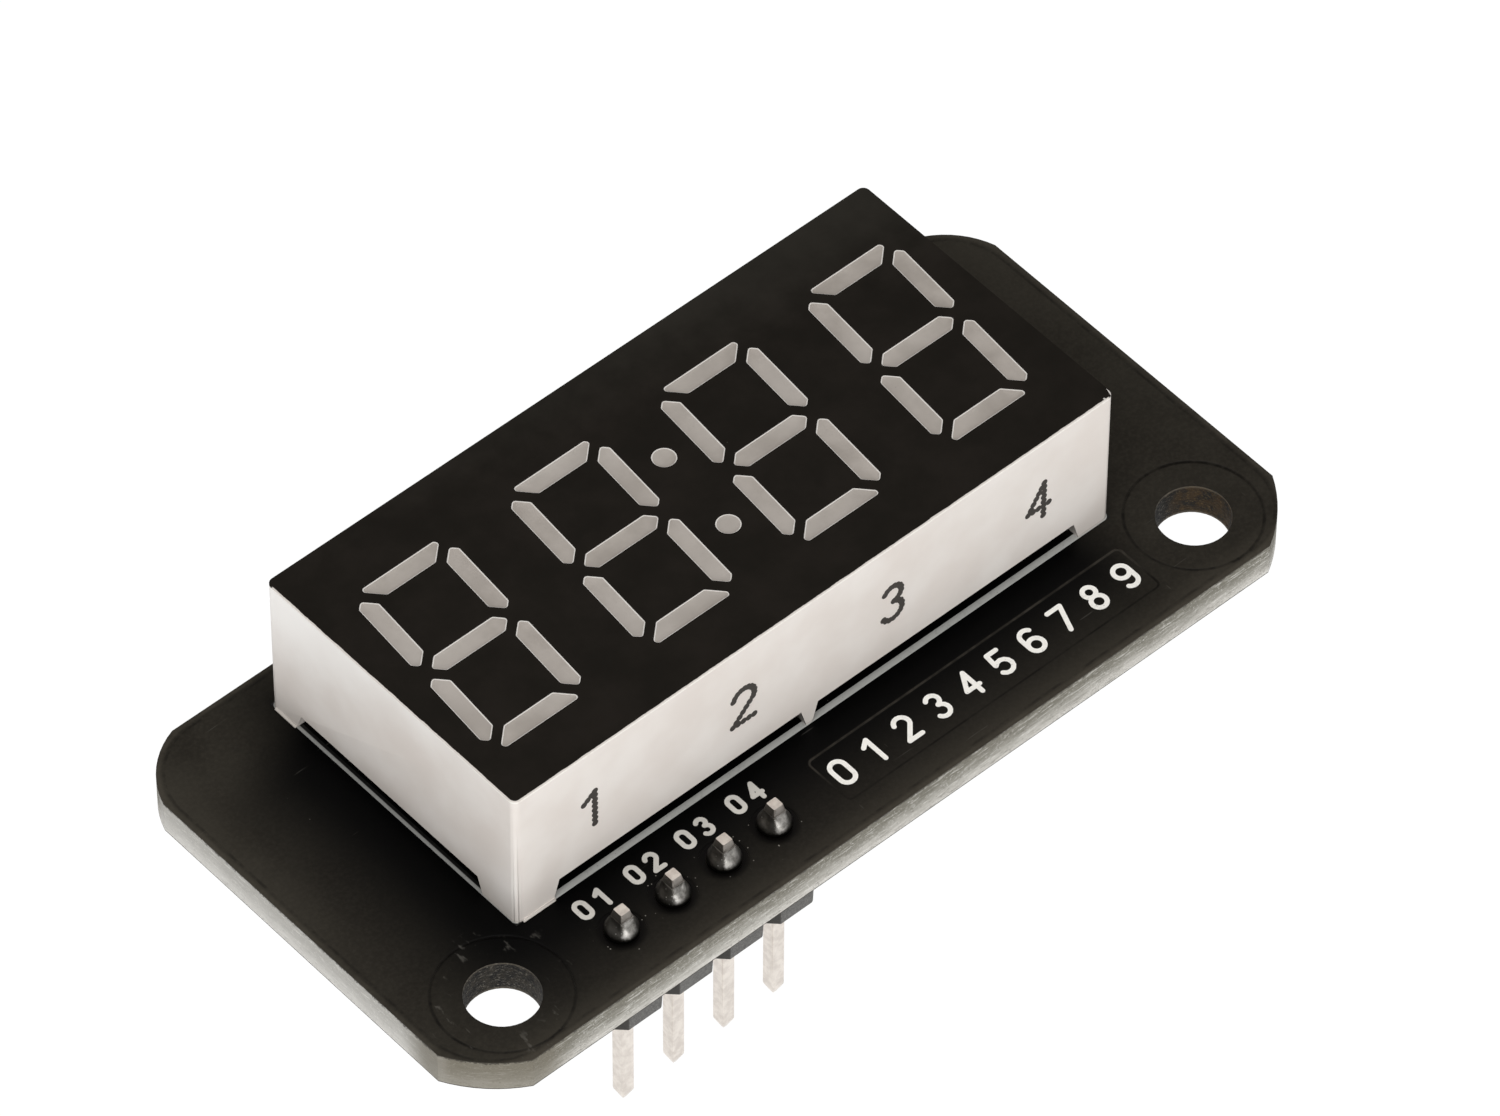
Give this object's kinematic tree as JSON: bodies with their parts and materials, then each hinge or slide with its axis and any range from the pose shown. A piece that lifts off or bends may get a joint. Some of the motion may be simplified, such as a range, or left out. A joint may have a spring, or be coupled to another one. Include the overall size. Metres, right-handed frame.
{
  "type": "seven segment display module",
  "caption": "Seven segment display with a colon on a black circuit board, with two mounting holes, a row of header pins and its driver parts underneath.",
  "frame": {"origin": "midway between the two mounting holes, on the board's underside", "axes": "+X to the right as the digits read, +Y to the tops of the digits, +Z out of the display's face"},
  "size_m": [0.0424, 0.0208, 0.0174],
  "materials": {
    "board_laminate": "glass-fibre laminate, pale grey-green routed edge",
    "solder_mask": "satin black lacquer",
    "board_print": "matt white print",
    "tinned_copper": "tinned copper",
    "solder": "dull grey solder",
    "shell_plastic": "warm white moulded plastic, satin",
    "face_ink": "matt black ink",
    "resin": "milky grey epoxy",
    "side_ink": "black ink dots",
    "chip_board": "pale laminate",
    "light_chip": "bare light-emitting chip",
    "pin_metal": "bright tin over brass",
    "header_plastic": "dark grey moulded plastic",
    "chip_plastic": "black moulding compound",
    "lead_metal": "tinned lead frame",
    "ceramic": "brown ceramic",
    "end_cap": "tinned end cap",
    "resistor_coat": "black glass coat"
  },
  "bodies": {
    "root": {"circuit_board": "board_laminate", "solder_mask_top": "solder_mask", "solder_mask_bottom": "solder_mask", "board_print_top": "board_print", "board_print_bottom": "board_print", "plated_holes": "tinned_copper", "surface_lands": "tinned_copper", "surface_solder": "solder", "display_solder_joints": "solder", "display_shell": "shell_plastic", "display_face_ink": "face_ink", "display_resin": "resin", "display_side_print": "side_ink", "display_chip_board": "chip_board", "light_chips": "light_chip", "display_pins_front": "pin_metal", "display_pins_rear": "pin_metal", "header_plastic": "header_plastic", "driver_chip_body": "chip_plastic", "driver_chip_leads": "lead_metal", "header_pin_1": "pin_metal", "header_solder_1": "solder", "header_pin_2": "pin_metal", "header_solder_2": "solder", "header_pin_3": "pin_metal", "header_solder_3": "solder", "header_pin_4": "pin_metal", "header_solder_4": "solder", "supply_capacitor": "ceramic", "supply_capacitor_ends": "end_cap", "bypass_capacitor": "ceramic", "bypass_capacitor_ends": "end_cap", "line_capacitor_1": "ceramic", "line_capacitor_1_ends": "end_cap", "line_capacitor_2": "ceramic", "line_capacitor_2_ends": "end_cap", "pull_up_resistor_1": "resistor_coat", "pull_up_resistor_1_ends": "end_cap", "pull_up_resistor_2": "resistor_coat", "pull_up_resistor_2_ends": "end_cap"}
  },
  "joints": []
}
